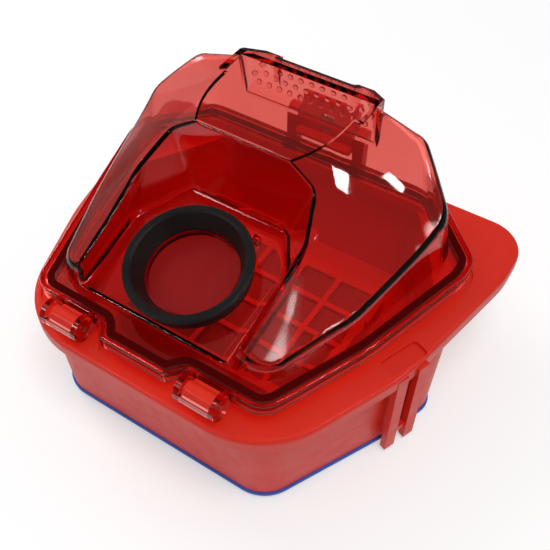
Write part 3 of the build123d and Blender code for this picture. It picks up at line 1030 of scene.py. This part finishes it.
@dataclass(frozen=True)
class Glint:
    """Bright patch of the surround that shows in reflections only: a soft disc, or a sharp pane."""

    azimuth: float
    elevation: float
    reach: float
    level: float
    height: float = 0.0
    tilt: float = 0.0
    sharpness: float = 0.85

    def build(self, bench: NodeBench, towards: bpy.types.NodeSocket) -> bpy.types.NodeSocket:
        """Add the patch to the surround.

        Args:
            bench: bench of the surround.
            towards: direction looked up.

        Returns:
            Brightness of the patch there.
        """
        middle = compass(self.azimuth, self.elevation)
        if not self.height:
            near = self._along(bench, towards, middle)
            rim = math.cos(math.radians(self.reach))
            span = bench.span(near, (0.0, self.level), (rim, 1.0))
            span.node.interpolation_type = "SMOOTHSTEP"
            return span
        spin = Matrix.Rotation(math.radians(self.tilt), 3, middle)
        side = spin @ Vector((0, 0, 1)).cross(middle).normalized()
        rise = middle.cross(side)
        pane = None
        for axis, half in ((side, self.reach), (rise, self.height)):
            offset = self._along(bench, towards, axis)
            edge = math.sin(math.radians(half))
            apart = bench.add("Math", {0: offset}, operation="ABSOLUTE").outputs[0]
            inside = bench.span(apart, (1.0, 0.0), (edge * self.sharpness, edge))
            pane = inside if pane is None else bench.combine("MULTIPLY", pane, inside)
        return bench.combine("MULTIPLY", pane, self.level)

    @staticmethod
    def _along(
        bench: NodeBench, towards: bpy.types.NodeSocket, axis: Vector
    ) -> bpy.types.NodeSocket:
        """Measure a direction along an axis.

        Args:
            bench: bench of the surround.
            towards: direction looked up.
            axis: axis, one long.

        Returns:
            Cosine between the two.
        """
        fields = {0: towards, 1: axis}
        return bench.add("VectorMath", fields, operation="DOT_PRODUCT").outputs["Value"]


@dataclass
class Studio:
    """Pale floor, soft light and the camera at the photographed angle."""

    floor_half: float = 3.0
    floor_drop: float = 0.0002
    floor_fade: Span = (0.3, 0.7)
    floor_plain: Span = (0.15, 0.8)
    floor_shade: Span = (0.0, 0.66)
    floor_glow: Span = (1.0, 0.45)
    floor_mirrored: float = 0.5
    fill: float = 0.50
    glow_inside: float = 0.45
    sky_stops: tuple[Spot, ...] = (
        (0.50, 0.2),
        (0.58, 0.16),
        (0.66, 0.06),
        (0.80, 0.02),
        (1.0, 0.02),
    )
    eye: Point = (0.15457, -0.22392, 0.35442)
    right: Point = (0.842825, 0.538188, 0.0)
    up: Point = (-0.410534, 0.642914, 0.646624)
    back: Point = (0.348006, -0.544991, 0.762809)
    lens: float = 50.205
    sensor: float = 36.0
    nearest: float = 0.01
    lamps: tuple[Softbox, ...] = (
        Softbox(
            "key_lamp", azimuth=62.0, elevation=70.0, distance=0.9, width=0.3, height=0.3, power=2.8
        ),
        Softbox(
            "left_lamp", azimuth=-100.0, elevation=38.0, distance=1.1, width=0.5, height=0.5, power=2.6
        ),
    )
    glints: tuple[Glint, ...] = (
        Glint(azimuth=112.0, elevation=45.8, reach=4.0, level=28.0, height=1.2, tilt=8.6),
        Glint(azimuth=78.1, elevation=53.8, reach=1.3, level=9.0),
        Glint(azimuth=78.0, elevation=54.4, reach=4.0, level=0.6),
        Glint(azimuth=90.0, elevation=35.5, reach=4.5, level=16.0),
        Glint(azimuth=96.5, elevation=31.0, reach=2.4, level=16.0),
        Glint(azimuth=86.0, elevation=57.0, reach=3.0, level=14.0),
        Glint(azimuth=-38.0, elevation=37.0, reach=8.0, level=9.0),
        Glint(azimuth=-109.0, elevation=25.0, reach=8.0, level=9.0),
    )

    def build(self) -> None:
        """Build floor, world, lamps and camera."""
        self._floor()
        self._world()
        for lamp in self.lamps:
            lamp.build()
        self._camera()
        bpy.context.scene.view_settings.view_transform = "Standard"

    def _floor(self) -> None:
        """Lay a pale floor that looks white, keeps the shadow and fades to plain white far out."""
        bench = ShaderBench("pale_floor")
        path = bench.add("LightPath").outputs
        far = bench.add("VectorMath", {0: bench.place}, operation="LENGTH").outputs["Value"]
        near = bench.span(far, (1.0, 0.0), self.floor_fade)
        mirrored = bench.combine("MULTIPLY", near, self.floor_mirrored)
        shine = bench.combine("MULTIPLY", path["Is Glossy Ray"], mirrored)
        seen = bench.combine("MAXIMUM", path["Is Camera Ray"], shine)
        seen = bench.combine("MAXIMUM", seen, path["Is Transmission Ray"])
        plain = bench.add("BsdfDiffuse", {"Color": bench.blend(near, *map(grey, self.floor_plain))})
        shade = bench.add("BsdfDiffuse", {"Color": bench.blend(near, *map(grey, self.floor_shade))})
        strength = bench.span(near, self.floor_glow, UNIT)
        glow = bench.add("Emission", {"Color": WHITE, "Strength": strength})
        white = bench.add("AddShader", {0: shade.outputs[0], 1: glow.outputs[0]})
        mixed = bench.add("MixShader", {0: seen, 1: plain.outputs[0], 2: white.outputs[0]})
        form = bmesh.new()
        bmesh.ops.create_grid(form, x_segments=1, y_segments=1, size=self.floor_half)
        bmesh.ops.translate(form, vec=(0, 0, -self.floor_drop), verts=form.verts)
        mesh = bpy.data.meshes.new("floor")
        form.to_mesh(mesh)
        form.free()
        mesh.materials.append(bench.close(mixed))
        floor = bpy.data.objects.new("floor", mesh)
        bpy.context.scene.collection.objects.link(floor)

    def _world(self) -> None:
        """Set a white surround that reflections see as a dim room with soft lamps in it."""
        world = bpy.data.worlds.new("studio")
        world.use_nodes = True
        bpy.context.scene.world = world
        bench = NodeBench(world.node_tree)
        towards = bench.add("TexCoord").outputs["Generated"]
        rise = bench.add("SeparateXYZ", {0: towards}).outputs["Z"]
        ramp = bench.add("ValToRGB", {"Fac": bench.span(rise, UNIT, (-1.0, 1.0))})
        stops = ramp.color_ramp.elements
        for index, (place, level) in enumerate(self.sky_stops):
            # A new ramp already has two stops.
            stop = stops[index] if index < 2 else stops.new(place)
            stop.position = place
            stop.color = (*grey(level), 1.0)
        room = bench.add("RGBToBW", {0: ramp.outputs["Color"]}).outputs[0]
        for glint in self.glints:
            room = bench.combine("ADD", room, glint.build(bench, towards))
        path = bench.add("LightPath").outputs
        inside = bench.combine("MINIMUM", path["Transmission Depth"], 1.0)
        room = bench.combine("MAXIMUM", room, bench.combine("MULTIPLY", inside, self.glow_inside))
        level = bench.choose(path["Is Glossy Ray"], self.fill, room)
        seen = bench.combine("MAXIMUM", path["Is Camera Ray"], path["Is Transmission Ray"])
        final = bench.choose(seen, level, 1.0)
        back = bench.add("Background", {"Color": WHITE, "Strength": final})
        bench.add("OutputWorld", {"Surface": back.outputs[0]})

    def _camera(self) -> None:
        """Set the camera where the photograph was taken from."""
        lens = bpy.data.cameras.new("camera")
        lens.sensor_fit = "HORIZONTAL"
        lens.sensor_width = self.sensor
        lens.lens = self.lens
        lens.clip_start = self.nearest
        camera = bpy.data.objects.new("camera", lens)
        axes = Matrix((self.right, self.up, self.back)).transposed().to_4x4()
        camera.matrix_world = Matrix.Translation(self.eye) @ axes
        bpy.context.scene.collection.objects.link(camera)
        bpy.context.scene.camera = camera


def main() -> None:
    """Build the dust bin and its studio."""
    logging.basicConfig(level=logging.INFO, format="%(name)s: %(message)s")
    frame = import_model()
    shop = Workshop(frame, Finishes().make())
    Studio().build()
    for assembly in (BaseTray(), FilterStack(), Lid(), InletFlap(), Latch()):
        assembly.build(shop)


if __name__ == "__main__":
    main()
